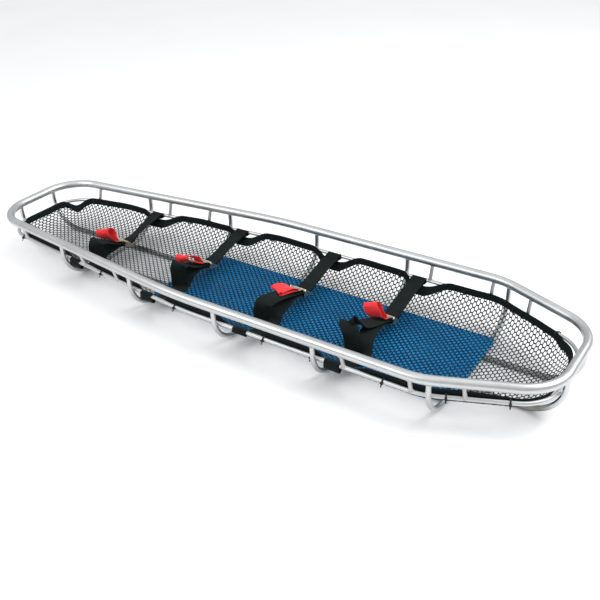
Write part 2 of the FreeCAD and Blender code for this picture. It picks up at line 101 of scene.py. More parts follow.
def plan_line():
    """Points, outward normals and lengths round the hand rail's centreline, anticlockwise."""
    corners = [(x, -y, r) for x, y, r in PLAN] + [(x, y, r) for x, y, r in reversed(PLAN)]
    count = len(corners)
    points, normals = [], []
    last = None
    for index, (x, y, radius) in enumerate(corners):
        here = np.array([x, y], float)
        into = unit(here - np.array(corners[index - 1][:2], float))
        out = unit(np.array(corners[(index + 1) % count][:2], float) - here)
        turn = math.acos(np.clip(into @ out, -1, 1))
        reach = radius * math.tan(turn / 2)
        start = here - into * reach
        centre = start + np.array([-into[1], into[0]]) * radius
        first = math.atan2(-into[0], into[1])
        if last is not None:
            add_straight(points, normals, last, start)
        steps = max(4, int(turn * radius / 6))
        for angle in np.linspace(first, first + turn, steps + 1):
            normal = np.array([math.cos(angle), math.sin(angle)])
            points.append(centre + normal * radius)
            normals.append(normal)
        last = points[-1]
    add_straight(points, normals, last, points[0])
    points, normals = np.array(points), np.array(normals)
    steps = np.linalg.norm(np.diff(points, axis=0, append=points[:1]), axis=1)
    return points, normals, np.concatenate([[0], np.cumsum(steps)])


def add_straight(points, normals, start, end):
    """Points between an arc's end and the next arc's start, both left out."""
    along = end - start
    steps = max(1, int(np.linalg.norm(along) / 8))
    normal = np.array([along[1], -along[0]]) / np.linalg.norm(along)
    for share in np.arange(1, steps) / steps:
        points.append(start + along * share)
        normals.append(normal)


LINE, NORMALS, LENGTHS = plan_line()
ROUND = LENGTHS[-1]


def around(stations, inset):
    """Plan points and outward normals at lengths round the outline, moved inward by inset."""
    stations = np.asarray(stations, float) % ROUND
    closed_line = np.vstack([LINE, LINE[:1]])
    closed_normals = np.vstack([NORMALS, NORMALS[:1]])
    point = np.stack([np.interp(stations, LENGTHS, closed_line[:, k]) for k in (0, 1)], axis=-1)
    normal = unit(np.stack([np.interp(stations, LENGTHS, closed_normals[:, k]) for k in (0, 1)], axis=-1))
    return point - normal * np.asarray(inset, float)[..., None], normal


def station(x, side):
    """Length round the outline where a side passes x."""
    on_side = [k for k in range(len(LINE)) if LINE[k, 1] * SIDES[side] > 150]
    xs, lengths = LINE[on_side, 0], LENGTHS[on_side]
    order = np.argsort(xs)
    return float(np.interp(x, xs[order], lengths[order]))


def half_width(x, inset=0):
    """Y of the left side's outline at x, moved inward by an inset."""
    point, normal = around(np.array([station(x, "left")]), 0)
    return float(point[0, 1] - inset / normal[0, 1])


# ---------------------------------------------------------------- meshes

def mesh_piece(name, points, faces, material, sharp=40, uvs=None):
    """Object from points in millimetres, smooth but for edges sharper than an angle."""
    mesh = bpy.data.meshes.new(name)
    metres = np.asarray(points, float) * MM
    mesh.from_pydata(metres.tolist(), [], [tuple(map(int, face)) for face in faces])
    if uvs is not None:
        layer = mesh.uv_layers.new(name="weave")
        corners = np.zeros(len(mesh.loops), np.int32)
        mesh.loops.foreach_get("vertex_index", corners)
        layer.data.foreach_set("uv", np.asarray(uvs, np.float32)[corners].ravel())
    mesh.polygons.foreach_set("use_smooth", [True] * len(mesh.polygons))
    if sharp:
        mesh.set_sharp_from_angle(angle=math.radians(sharp))
    mesh.materials.append(material)
    mesh.update()
    piece = bpy.data.objects.new(name, mesh)
    bpy.context.scene.collection.objects.link(piece)
    return piece


def finish_piece(piece, replaced=(), body=BODY):
    """Rides on a body and hides the CAD nodes that it stands for."""
    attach(piece, body)
    if replaced:
        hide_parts(*replaced)
    return piece


def smooth_path(points, per_leg=8):
    """Catmull-Rom line through rows of numbers, ends kept."""
    points = np.asarray(points, float)
    padded = np.vstack([2 * points[0] - points[1], points, 2 * points[-1] - points[-2]])
    rows = []
    for index in range(1, len(padded) - 2):
        a, b, c, d = padded[index - 1:index + 3]
        for share in np.arange(per_leg) / per_leg:
            rows.append(0.5 * (2 * b + (c - a) * share + (2 * a - 5 * b + 4 * c - d) * share ** 2
                               + (3 * b - a - 3 * c + d) * share ** 3))
    rows.append(points[-1])
    return np.array(rows)


class Shell:
    """Points, faces and weave coordinates gathered for one piece."""

    def __init__(self):
        self.points, self.faces, self.uvs = [], [], []

    def add(self, points, faces, uvs=None):
        start = len(self.points)
        self.points.extend(np.asarray(points, float).tolist())
        self.faces.extend([[start + corner for corner in face] for face in faces])
        self.uvs.extend(np.zeros((len(points), 2)).tolist() if uvs is None else np.asarray(uvs).tolist())

    def piece(self, name, material, sharp=40):
        return mesh_piece(name, self.points, self.faces, material, sharp, self.uvs)


def sweep(shell, rings, closed=False, uvs=None):
    """Skin over rings of equally many points, capped at both ends unless closed."""
    rings = np.asarray(rings, float)
    count, size = rings.shape[:2]
    faces = []
    for ring in range(count if closed else count - 1):
        following = (ring + 1) % count
        for corner in range(size):
            beside = (corner + 1) % size
            faces.append([ring * size + corner, ring * size + beside,
                          following * size + beside, following * size + corner])
    if not closed:
        faces.append(list(range(size))[::-1])
        faces.append([(count - 1) * size + corner for corner in range(size)])
    shell.add(rings.reshape(-1, 3), faces, None if uvs is None else np.asarray(uvs).reshape(-1, 2))


def webbing_section(width, thick, across=8):
    """Flat loop of (across, out) points with softened selvedges."""
    edge = 0.9
    top = np.linspace(-width / 2 + edge, width / 2 - edge, across)
    upper = [(u, thick / 2 + 0.12 * thick * math.cos(math.pi * u / width)) for u in top]
    lower = [(u, -thick / 2) for u in top[::-1]]
    right = [(width / 2, thick * 0.28), (width / 2, -thick * 0.28)]
    left = [(-width / 2, -thick * 0.28), (-width / 2, thick * 0.28)]
    return np.array(upper + right + lower + left)


def webbing(shell, path, sides, width=STRAP_WIDTH, thick=STRAP_THICK, closed=False):
    """Woven band along a path of points, with its width along the side vectors."""
    path = np.asarray(path, float)
    if closed:
        tangents = unit(np.roll(path, -1, axis=0) - np.roll(path, 1, axis=0))
    else:
        tangents = unit(np.gradient(path, axis=0))
    sides = np.broadcast_to(np.asarray(sides, float), path.shape)
    sides = unit(sides - tangents * (sides * tangents).sum(axis=1, keepdims=True))
    out = np.cross(sides, tangents)
    widths = np.broadcast_to(np.asarray(width, float), len(path))
    sections = np.array([webbing_section(each, thick) for each in widths])
    rings = path[:, None] + sides[:, None] * sections[:, :, :1] + out[:, None] * sections[:, :, 1:]
    along = np.concatenate([[0], np.cumsum(np.linalg.norm(np.diff(path, axis=0), axis=1))])
    uvs = np.stack([sections[:, :, 0], np.broadcast_to(along[:, None], rings.shape[:2])], axis=-1) * MM
    sweep(shell, rings, closed, uvs)
    return path, sides, out


def stitch_row(shell, points, out, along_size=3.2, radius=0.45):
    """Short raised threads along a line of points."""
    points = np.asarray(points, float)
    out = np.broadcast_to(np.asarray(out, float), points.shape)
    along = unit(np.gradient(points, axis=0))
    beside = np.cross(out, along)
    for point, direction, up, side in zip(points, along, out, beside):
        rings = []
        for share, swell in ((-0.5, 0.35), (-0.25, 1), (0.25, 1), (0.5, 0.35)):
            centre = point + direction * along_size * share + up * radius * (0.9 if swell == 1 else 0.1)
            rings.append([centre + (side * math.cos(a) + up * math.sin(a)) * radius * swell
                          for a in np.arange(5) * math.tau / 5])
        sweep(shell, rings)


# ---------------------------------------------------------------- materials

class Finish:
    """A procedural material, with short helpers for its nodes."""

    def __init__(self, name, **values):
        self.material = bpy.data.materials.new(name)
        self.material.use_nodes = True
        self.nodes = self.material.node_tree.nodes
        self.links = self.material.node_tree.links
        self.shader = self.nodes["Principled BSDF"]
        self.coords = self.nodes.new("ShaderNodeTexCoord")
        for socket, value in values.items():
            self.shader.inputs[socket.replace("_", " ")].default_value = value

    def link(self, source, target):
        self.links.new(source, target)

    def place(self, scale=(1, 1, 1), uv=False, turn=0.0):
        """Coordinates on the object or along the weave, in metres, stretched by a scale."""
        node = self.nodes.new("ShaderNodeMapping")
        node.inputs["Scale"].default_value = scale
        node.inputs["Rotation"].default_value = (0, 0, turn)
        self.link(self.coords.outputs["UV" if uv else "Object"], node.inputs["Vector"])
        return node.outputs["Vector"]

    def noise(self, scale, detail, stretch=(1, 1, 1)):
        """Fractal noise on the object."""
        node = self.nodes.new("ShaderNodeTexNoise")
        node.inputs["Scale"].default_value = scale
        node.inputs["Detail"].default_value = detail
        node.inputs["Roughness"].default_value = 0.55
        self.link(self.place(stretch), node.inputs["Vector"])
        return node.outputs["Fac"]

    def wave(self, pitch, direction, turn=0.0):
        """Even bands across the weave coordinates, pitch apart in metres."""
        node = self.nodes.new("ShaderNodeTexWave")
        node.bands_direction = direction
        node.inputs["Scale"].default_value = 1 / (pitch * math.tau)
        self.link(self.place(uv=True, turn=turn), node.inputs["Vector"])
        return node.outputs["Fac"]

    def math(self, operation, a, b):
        """A maths node on two sources or numbers."""
        node = self.nodes.new("ShaderNodeMath")
        node.operation = operation
        for socket, value in zip(node.inputs, (a, b)):
            if isinstance(value, (int, float)):
                socket.default_value = value
            else:
                self.link(value, socket)
        return node.outputs["Value"]

    def ramp(self, source, low, high, start=0.3, end=0.7):
        """Colours or grey values between two ends, following a source."""
        node = self.nodes.new("ShaderNodeValToRGB")
        for element, position, value in zip(node.color_ramp.elements, (start, end), (low, high)):
            element.position = position
            element.color = (*value, 1) if hasattr(value, "__len__") else (value, value, value, 1)
        self.link(source, node.inputs["Fac"])
        return node.outputs["Color"]

    def height(self):
        """Height above the floor, in metres."""
        node = self.nodes.new("ShaderNodeSeparateXYZ")
        self.link(self.coords.outputs["Object"], node.inputs["Vector"])
        return node.outputs["Z"]

    def blend(self, share, first, second):
        """Mixes two colours by a share."""
        node = self.nodes.new("ShaderNodeMix")
        node.data_type = "RGBA"
        self.link(share, node.inputs[0])
        self.link(first, node.inputs[6])
        self.link(second, node.inputs[7])
        return node.outputs[2]

    def bump(self, height, strength, distance):
        """Adds a bump over any that is already there."""
        node = self.nodes.new("ShaderNodeBump")
        node.inputs["Strength"].default_value = strength
        node.inputs["Distance"].default_value = distance
        self.link(height, node.inputs["Height"])
        normal = self.shader.inputs["Normal"]
        if normal.is_linked:
            self.link(normal.links[0].from_socket, node.inputs["Normal"])
        self.link(node.outputs["Normal"], normal)

    def mix_of(self, first, second, share):
        """Sum of two sources, the first one weighted by a share and the second by the rest."""
        rest = self.math("MULTIPLY", second, 1 - share)
        return self.math("ADD", self.math("MULTIPLY", first, share), rest)

    def colour(self, source):
        self.link(source, self.shader.inputs["Base Color"])

    def roughness(self, source):
        self.link(source, self.shader.inputs["Roughness"])


def satin_metal():
    """Bead-blasted, lightly brushed tube with handling marks."""
    finish = Finish("satin_tube_metal", Metallic=1.0)
    brushed = finish.noise(260, 4, (0.12, 1, 1))
    clouds = finish.noise(9, 3)
    mixed = finish.mix_of(brushed, clouds, 0.4)
    finish.colour(finish.ramp(mixed, (0.51, 0.52, 0.52), (0.63, 0.64, 0.64)))
    finish.roughness(finish.ramp(mixed, 0.30, 0.40))
    finish.bump(brushed, 0.03, 0.0002)
    return finish.material


def dulled_shaded_metal():
    """The same tube, duller and streaked on its low runs, with painted shade: its colour is darkened near
    the floor.
    """
    finish = Finish("dulled_tube_metal_painted_shade", Metallic=1.0)
    streaks = finish.noise(160, 4, (0.06, 1, 1))
    clouds = finish.noise(14, 3)
    mixed = finish.mix_of(streaks, clouds, 0.5)
    # Painted shade: the darker colour of the low runs stands in for the shadow they lie in under the net.
    painted_shade_tone = finish.ramp(mixed, (0.24, 0.23, 0.22), (0.42, 0.41, 0.39))
    unshaded_tone = finish.ramp(mixed, (0.55, 0.56, 0.57), (0.67, 0.68, 0.69))
    # Share of the plain colour, rising from 22 mm to 45 mm above the floor; below that the colour is
    # painted shade.
    above = finish.ramp(finish.height(), 0.0, 1.0, 0.022, 0.045)
    finish.colour(finish.blend(above, painted_shade_tone, unshaded_tone))
    finish.roughness(finish.blend(above, finish.ramp(mixed, 0.50, 0.36), finish.ramp(mixed, 0.17, 0.25)))
    finish.bump(streaks, 0.1, 0.0003)
    return finish.material


def weld_metal():
    """Bare weld bead, a little duller than the tube."""
    finish = Finish("weld_metal", Metallic=1.0)
    grain = finish.noise(900, 3)
    finish.colour(finish.ramp(grain, (0.36, 0.35, 0.33), (0.60, 0.59, 0.57)))
    finish.roughness(finish.ramp(grain, 0.30, 0.48))
    finish.bump(grain, 0.3, 0.0004)
    return finish.material


def black_cord():
    """Knotless net twine: fine filaments with a dull shine."""
    finish = Finish("net_twine", Sheen_Weight=0.0, Specular_IOR_Level=0.16)
    threads = finish.noise(2600, 2, (1, 0.35, 1))
    dust = finish.noise(14, 3)
    finish.colour(finish.ramp(dust, (0.003, 0.011, 0.015), (0.009, 0.028, 0.036)))
    finish.roughness(finish.ramp(threads, 0.45, 0.7))
    finish.bump(threads, 0.5, 0.0004)
    return finish.material


TWILL_PITCH = 0.7  # of the pitch of the lengthwise ribs
TWILL_ANGLE = 0.62


def woven(name, dark, light, rib=0.0016, rough=(0.62, 0.85), sheen=0.02):
    """Webbing or tape: lengthwise ribs, a fine twill across them and slight fading."""
    finish = Finish(name, Sheen_Weight=sheen, Sheen_Roughness=0.45, Specular_IOR_Level=0.08)
    ribs = finish.wave(rib, "X")
    twill, twill_back = (finish.wave(rib * TWILL_PITCH, "Y", turn) for turn in (TWILL_ANGLE, -TWILL_ANGLE))
    weave = finish.mix_of(ribs, finish.math("MAXIMUM", twill, twill_back), 0.5)
    fading = finish.noise(30, 3)
    fuzz = finish.noise(1500, 3)
    tone = finish.math("ADD", finish.math("MULTIPLY", weave, 0.45),
                       finish.math("ADD", finish.math("MULTIPLY", fading, 0.4),
                                   finish.math("MULTIPLY", fuzz, 0.15)))
    finish.colour(finish.ramp(tone, dark, light, 0.25, 0.75))
    finish.roughness(finish.ramp(fuzz, rough[0], rough[1]))
    finish.bump(weave, 0.7, 0.0005)
    finish.bump(fuzz, 0.25, 0.0002)
    return finish.material


def blue_plastic():
    """Moulded sheet with a fine grain, slight colour drift and rubbed streaks along it."""
    finish = Finish("blue_sheet_plastic", Specular_IOR_Level=0.28)
    drift = finish.noise(5, 3, (0.6, 1.6, 1))
    rubbed = finish.noise(120, 4, (0.05, 1, 1))
    tone = finish.mix_of(drift, rubbed, 0.65)
    finish.colour(finish.ramp(tone, (0.0004, 0.15, 0.41), (0.0012, 0.25, 0.60)))
    finish.roughness(finish.ramp(rubbed, 0.34, 0.52))
    finish.bump(finish.noise(1400, 2), 0.2, 0.0002)
    return finish.material


def plated(name, low, high, rough):
    """Plated steel with a fine grain and cloudy patches."""
    finish = Finish(name, Metallic=1.0)
    grain = finish.noise(420, 3)
    patches = finish.noise(70, 3)
    finish.colour(finish.ramp(patches, low, high))
    finish.roughness(finish.ramp(grain, rough[0], rough[1]))
    finish.bump(grain, 0.1, 0.0002)
    return finish.material


def tie_plastic():
    """Black moulded nylon."""
    finish = Finish("tie_nylon", Specular_IOR_Level=0.2)
    grain = finish.noise(800, 2)
    finish.colour(finish.ramp(grain, (0.010, 0.011, 0.011), (0.022, 0.023, 0.024)))
    finish.roughness(finish.ramp(grain, 0.5, 0.65))
    finish.bump(grain, 0.15, 0.0002)
    return finish.material


METAL = satin_metal()
SHADE_PAINTED_METAL = dulled_shaded_metal()
WELD = weld_metal()
NET = black_cord()
TAPE = woven("edge_tape", (0.003, 0.005, 0.005), (0.012, 0.018, 0.019), 0.0013)
BLACK_WEB = woven("black_webbing_weave", (0.002, 0.004, 0.004), (0.011, 0.016, 0.015))
RED_WEB = woven("red_webbing_weave", (0.50, 0.012, 0.018), (0.92, 0.055, 0.06), 0.0014, (0.5, 0.75), 0.12)
BLUE = blue_plastic()
GOLD = plated("yellow_zinc_steel", (0.58, 0.47, 0.32), (0.78, 0.69, 0.53), (0.20, 0.34))
PIN = plated("bright_pin_steel", (0.55, 0.54, 0.52), (0.72, 0.71, 0.69), (0.18, 0.30))
TIE = tie_plastic()
THREAD = woven("sewing_thread", (0.012, 0.014, 0.014), (0.05, 0.055, 0.055), 0.0008)
SLOT_FINISH = {
    "satin_tube": METAL, "plated_steel": GOLD, "pin_steel": PIN, "black_net": NET, "black_tape": TAPE,
    "black_webbing": BLACK_WEB, "red_webbing": RED_WEB, "blue_panel": BLUE, "tie_plastic": TIE,
}


def dress_cad_nodes():
    """Every CAD node that may show gets its slot's finish."""
    slots = {}
    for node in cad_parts:
        if node.startswith(("top_rail", "net_rail", "rib_", "runner", "posts", "rail_splice")):
            slots[node] = "satin_tube"
        elif node.startswith(("buckle_frame", "cam_lever")):
            slots[node] = "plated_steel"
        elif node in ("cam_pins", "cam_springs"):
            slots[node] = "pin_steel"
    for node, slot in slots.items():
        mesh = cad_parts[node].data
        mesh.materials.clear()
        # Runners take the tube finish with painted shade on their low runs.
        mesh.materials.append(SHADE_PAINTED_METAL if node.startswith("runner") else SLOT_FINISH[slot])


# ---------------------------------------------------------------- welds

WELD_BEAD = 1.7
WELD_RIPPLES = 20
LOWEST_WELD = 0.2


def weld(shell, on_axis, rail_dir, rail_r, tube_dir, tube_r):
    """Rippled bead where a tube meets a rail square on, kept above the floor."""
    rail_dir, tube_dir = unit(rail_dir), unit(tube_dir)
    across = np.cross(tube_dir, rail_dir)
    rings = []
    for turn in np.arange(40) / 40 * math.tau:
        radial = rail_dir * math.cos(turn) + across * math.sin(turn)
        lift = math.sqrt(max(rail_r ** 2 - (tube_r * math.sin(turn)) ** 2, 0))
        centre = on_axis + radial * (tube_r + 0.3) + tube_dir * (lift + 0.2)
        size = WELD_BEAD * (1 + 0.16 * math.sin(turn * WELD_RIPPLES))
        ring = np.array([centre + (radial * math.cos(a) + tube_dir * math.sin(a)) * size
                         for a in np.arange(8) * math.tau / 8])
        ring[:, 2] = np.maximum(ring[:, 2], LOWEST_WELD)
        rings.append(ring)
    sweep(shell, rings, closed=True)


def build_welds():
    """Beads where the posts, ribs and skids meet the rails, and where the ribs cross the skids."""
    shell = Shell()
    down = np.array([0, 0, -1.0])
    for side, sign in SIDES.items():
        for x in POST_X + RIB_X:
            _, normal = around(np.array([station(x, side)]), 0)
            along = np.array([-normal[0, 1], normal[0, 0], 0])
            top = np.array([x, half_width(x) * sign, RAIL_Z])
            weld(shell, top, along, RAIL_R, down, RIB_R if x in RIB_X else NET_RAIL_R)
            if x in POST_X:
                foot = np.array([x, half_width(x, NET_RAIL_INSET) * sign, NET_RAIL_Z])
                lean = unit(top - foot)
                weld(shell, foot, along, NET_RAIL_R, lean, NET_RAIL_R * 0.96)
    for end in (-1, 1):
        for y in (-RUNNER_Y, RUNNER_Y):
            top = np.array([end * HALF_LENGTH, y, RAIL_Z])
            weld(shell, top, np.array([0, 1.0, 0]), RAIL_R, down, RIB_R)
    for x in RIB_X:
        for y in (-RUNNER_Y, RUNNER_Y):
            middle = np.array([x, y, RIB_R])
            for direction in ((0, 1.0, 0), (0, -1.0, 0)):
                weld(shell, middle, np.array([1.0, 0, 0]), RIB_R, np.array(direction), RIB_R * 0.97)
    return finish_piece(shell.piece("weld_beads", WELD, 0))


# ---------------------------------------------------------------- net and its tape edge

# Section of the net's wall from the floor up, as (inset from the hand rail's centreline, height).
WALL = np.array([(142, 24.6), (128, 25.6), (115, 27.8), (90, 34), (66, 44), (48, 55.5), (36, 67.5),
                 (29.5, 77), (27.2, 86), (26.5, 95), (26.4, 104), (26.4, 114)])
WALL_LENGTH = np.concatenate([[0], np.cumsum(np.linalg.norm(np.diff(WALL, axis=0), axis=1))])
FLOOR_INSET = WALL[0, 0]
TAPE_TOP = 102
TAPE_HEIGHT = 24
# The tape bows up between the straps and dips at each, over a foot-side and a head-side reach.
BOW = 10
BAYS = (-960, *STRAP_X, 960)
DIP = 24
DIPS = {1: (62, 118), 2: (56, 108), 3: (90, 110), 4: (54, 118)}
# How far the tape hangs down and draws inward at the head end, and at the foot end's corners.
HEAD_DIP, HEAD_PULL = 7, 5
CORNER_DIP, CORNER_PULL = 21, 11


def end_slack(point, normal):
    """(drop, inward pull) of the tape where it slips inside the net rail past the last ties."""
    head = smooth_step((point[:, 0] - 948) / 45)
    corner = np.where(point[:, 0] < -940, (2 * np.abs(normal[:, 0] * normal[:, 1])) ** 4, 0)
    return HEAD_DIP * head + CORNER_DIP * corner, HEAD_PULL * head + CORNER_PULL * corner


def tape_drop(stations):
    """How far the tape's top sits below the level of its ties; it bows up between straps."""
    point, normal = around(stations, 0)
    x = point[:, 0]
    bay = np.clip(np.searchsorted(BAYS, x) - 1, 0, len(BAYS) - 2)
    low, high = np.array(BAYS)[bay], np.array(BAYS)[bay + 1]
    bow = BOW * np.sin(np.pi * np.clip((x - low) / (high - low), 0, 1)) ** 0.8
    on_side = np.abs(normal[:, 1]) > 0.9
    dip = np.zeros(len(stations))
    for strap, strap_x in zip(STRAPS, STRAP_X):
        foot_reach, head_reach = DIPS[strap]
        away = x - strap_x
        share = np.where(away < 0, (-away - 18) / (foot_reach - 18), (away - 24) / (head_reach - 24))
        dip = np.maximum(dip, np.where(on_side, 1 - smooth_step(share), 0))
    drop = DIP * dip - np.where(on_side, bow * (1 - dip), 0) + end_slack(point, normal)[0]
    return drop + 0.8 * (1 - np.cos(stations / ROUND * math.tau * 29))


def wall_inset(height):
    """Inset of the net's wall at a height."""
    return np.interp(height, WALL[:, 1], WALL[:, 0])


def end_pull(point, normal, height):
    """How far the slipped tape draws the wall inward at a height."""
    return end_slack(point, normal)[1] * smooth_step((height - 34) / 40)


def plan_tree():
    """Fine points round the outline, with a tree that finds the nearest one."""
    fine = np.arange(0, ROUND, 2.0)
    points, normals = around(fine, 0)
    tree = KDTree(len(fine))
    for index, (x, y) in enumerate(points):
        tree.insert((x, y, 0), index)
    tree.balance()
    return fine, points, normals, tree


FINE, FINE_POINTS, FINE_NORMALS, TREE = plan_tree()


def floor_height(x, y):
    """Net floor: pressed on the panel, sagging between the ribs beyond it."""
    panel = smooth_step((np.minimum(x + 350, 800 - x)) / 40)
    away = np.min(np.abs(x[:, None] - np.array(RIB_X + (-HALF_LENGTH + 66, HALF_LENGTH - 66))), axis=1)
    sag = 5.2 * smooth_step(away / 110) * (1 - panel)
    ripple = 0.5 * np.sin(x / 47 + y / 31) + 0.4 * np.sin(x / 29 - y / 23)
    return 24.4 + ripple * 0.6 - sag


def lay_net(flat):
    """Carries points of the flat net onto the basket: (points, stations, wall shares)."""
    nearest = np.array([TREE.find((x, y, 0))[1] for x, y in flat])
    normal = FINE_NORMALS[nearest]
    inset = ((FINE_POINTS[nearest] - flat) * normal).sum(axis=1)
    foot = flat + normal * inset[:, None]
    climb = np.clip(FLOOR_INSET - inset, 0, WALL_LENGTH[-1])
    wall_z = np.interp(climb, WALL_LENGTH, WALL[:, 1])
    wall_in = np.interp(climb, WALL_LENGTH, WALL[:, 0]) + end_pull(foot, normal, wall_z)
    on_wall = climb > 0
    plan = np.where(on_wall[:, None], foot - normal * wall_in[:, None], flat)
    blend = smooth_step((FLOOR_INSET + 45 - inset) / 45)
    level = floor_height(flat[:, 0], flat[:, 1]) * (1 - blend) + WALL[0, 1] * blend
    height = np.where(on_wall, wall_z, level)
    return np.column_stack([plan, height]), FINE[nearest], climb


NET_X = 10.0  # columns of cells
NET_Y = 9.4  # half the pitch in a column
NET_HOLE = 0.735  # a hole's size as a share of its cell's
NET_HALF_THICK = 1.15
CELL_CORNERS = ((2, 0), (1, 1), (-1, 1), (-2, 0), (-1, -1), (1, -1))


def net_cells():
    """(column, row) of each cell that lies in the basket and below the tape's middle."""
    columns = int((HALF_LENGTH + 90) / NET_X)
    rows = int((HALF_WIDTH + 90) / NET_Y)
    cells = np.array([(i, r) for i in range(-columns, columns + 1) for r in range(-rows, rows + 1)
                      if (i + r) % 2 == 0])
    centres = cells * (NET_X, NET_Y)
    laid, stations, climb = lay_net(centres)
    inside = (np.abs(centres[:, 0]) < HALF_LENGTH + 30) & (climb < WALL_LENGTH[-1] - 1)
    return cells[inside & (laid[:, 2] < TAPE_TOP - tape_drop(stations) - TAPE_HEIGHT / 2)]


def net_knots(cells):
    """Corners that the cells share, on the flat net, and each cell's six of them."""
    keys = {}
    knots = []
    cell_knots = []
    for column, row in cells:
        found = []
        for across, along in CELL_CORNERS:
            key = (3 * column + across, row + along)
            if key not in keys:
                keys[key] = len(knots)
                knots.append((key[0] * NET_X / 3, key[1] * NET_Y))
            found.append(keys[key])
        cell_knots.append(found)
    return np.array(knots), np.array(cell_knots)


def net_normals(flat, step=1.5):
    """Normals of the laid net at points of the flat net."""
    beside_x = lay_net(flat + (step, 0))[0] - lay_net(flat - (step, 0))[0]
    beside_y = lay_net(flat + (0, step))[0] - lay_net(flat - (0, step))[0]
    return unit(np.cross(beside_x, beside_y))


def net_faces(cell_knots, knot_count):
    """Crowned strands round each hole, and a closing face along the net's free edges."""
    faces = []
    edge_uses = {}
    for index, found in enumerate(cell_knots):
        rim = 2 * knot_count + index * 6
        for side in range(6):
            a, b = found[side], found[(side + 1) % 6]
            rim_a, rim_b = rim + side, rim + (side + 1) % 6
            faces.append((a, b, rim_b, rim_a))
            faces.append((b + knot_count, a + knot_count, rim_a, rim_b))
            edge_uses.setdefault((min(a, b), max(a, b)), []).append((a, b))
    for uses in edge_uses.values():
        if len(uses) == 1:
            a, b = uses[0]
            faces.append((b, a, a + knot_count, b + knot_count))
    return faces


def build_net():
    """Hexagonal knotless net: each cell's six sides are crowned strands round its hole."""
    cells = net_cells()
    knots, cell_knots = net_knots(cells)
    middles = (cells * (NET_X, NET_Y))[:, None]
    rims = middles + (knots[cell_knots] - middles) * NET_HOLE
    knot_points = lay_net(knots)[0]
    rim_points = lay_net(rims.reshape(-1, 2))[0]
    crown = net_normals(knots) * NET_HALF_THICK * 1.1
    all_points = np.vstack([knot_points + crown, knot_points - crown, rim_points])
    piece = mesh_piece("basket_net", all_points, net_faces(cell_knots, len(knots)), NET, 0)
    return finish_piece(piece, ["net_floor"] + ["net_wall_" + run for run in RUNS])


# Closed section of the folded tape, as (across the wall, below its top) for a tape 25 mm high.
TAPE_SECTION = [(-1.7, -25), (-2.1, -19), (-2.2, -9), (-1.9, -2.4), (-1.1, -0.5), (0, 0), (1.1, -0.5),
                (1.9, -2.4), (2.2, -9), (2.1, -19), (1.7, -25), (0.5, -25.6), (-0.5, -25.6)]
STITCH_DEPTHS = (3.6, 21.5)


def on_tape(stations, drop, height, across):
    """(plan points, outward normals) on the tape at lengths round the outline."""
    inset = wall_inset(height) + across + 0.12 * np.maximum(drop, 0)
    inset = inset + end_pull(*around(stations, 0), height)
    return around(stations, inset)


def build_tape():
    """Folded tape sewn over the net's edge, with two rows of stitches."""
    shell, threads = Shell(), Shell()
    steps = int(ROUND / 7)
    stations = np.arange(steps) * ROUND / steps
    drop = tape_drop(stations)
    lines, uvs = [], []
    for across, below in TAPE_SECTION:
        height = TAPE_TOP - drop + below * TAPE_HEIGHT / 25
        plan, _ = on_tape(stations, drop, height, across)
        lines.append(np.column_stack([plan, height]))
        uvs.append(np.column_stack([np.full(steps, below + across * 0.3), stations]) * MM)
    sweep(shell, np.stack(lines, axis=1), closed=True, uvs=np.stack(uvs, axis=1))
    tape = shell.piece("tape_edge", TAPE, 60)
    finish_piece(tape, ["net_binding_" + run for run in RUNS])
    spots = np.arange(0, ROUND, 6.5)
    drop = tape_drop(spots)
    for depth in STITCH_DEPTHS:
        height = TAPE_TOP - drop - depth
        plan, normal = on_tape(spots, drop, height, 2.15)
        inward = np.column_stack([-normal, np.zeros(len(spots))])
        stitch_row(threads, np.column_stack([plan, height]), inward, 3.6, 0.4)
    stitches = threads.piece("tape_stitches", THREAD, 0)
    finish_piece(stitches)
    return tape, stitches


# ---------------------------------------------------------------- panel, ties

def rounded_loop(width, length, radius, steps):
    """Rectangle with rounded corners, anticlockwise."""
    points = []
    for sx, sy, first in ((1, 1, 0), (-1, 1, 90), (-1, -1, 180), (1, -1, 270)):
        centre = np.array([sx * (length / 2 - radius), sy * (width / 2 - radius)])
        for angle in np.radians(np.linspace(first, first + 90, steps + 1)):
            points.append(centre + radius * np.array([math.cos(angle), math.sin(angle)]))
    return np.array(points)


# The panel's closed skin, from its underside round the rim to its top, as (inward from its edge, above
# its underside).
PANEL_SECTION = [(2.2, 0), (0.7, 0.35), (0, 1.5), (0, 3.6), (0.6, 5.0), (2.0, 5.7), (3.6, 6.0), (9, 6.0),
                 (12, 5.0), (60, 4.9)]


def build_panel():
    """Blue back panel: a thin stiff sheet with a rolled rim."""
    low, high = node_box("back_panel")
    length, width, _ = high - low
    middle = (low + high) / 2
    shell = Shell()
    loops = []
    for inward, level in PANEL_SECTION:
        loop = rounded_loop(width - 2 * inward, length - 2 * inward, max(25 - inward, 4), 8)
        loops.append(np.column_stack([loop + middle[:2], np.full(len(loop), low[2] + level)]))
    sweep(shell, loops)
    return finish_piece(shell.piece("back_panel_sheet", BLUE, 50), ["back_panel"])


# A tie's band round the net rail and the tape, and its cut tail, as (outward, up) from the rail's axis.
TIE_LOOP = [(7.2, -2), (6.8, 3), (4.4, 6.4), (0, 8.4), (-6, 9.2), (-10.5, 8.4), (-12.4, 4), (-12.4, -4),
            (-11, -9.2), (-6, -10.6), (0, -8.8), (5, -6)]
TIE_TAIL = [(9.4, -3.6), (10.4, -6.5), (12.6, -9), (15.2, -10)]


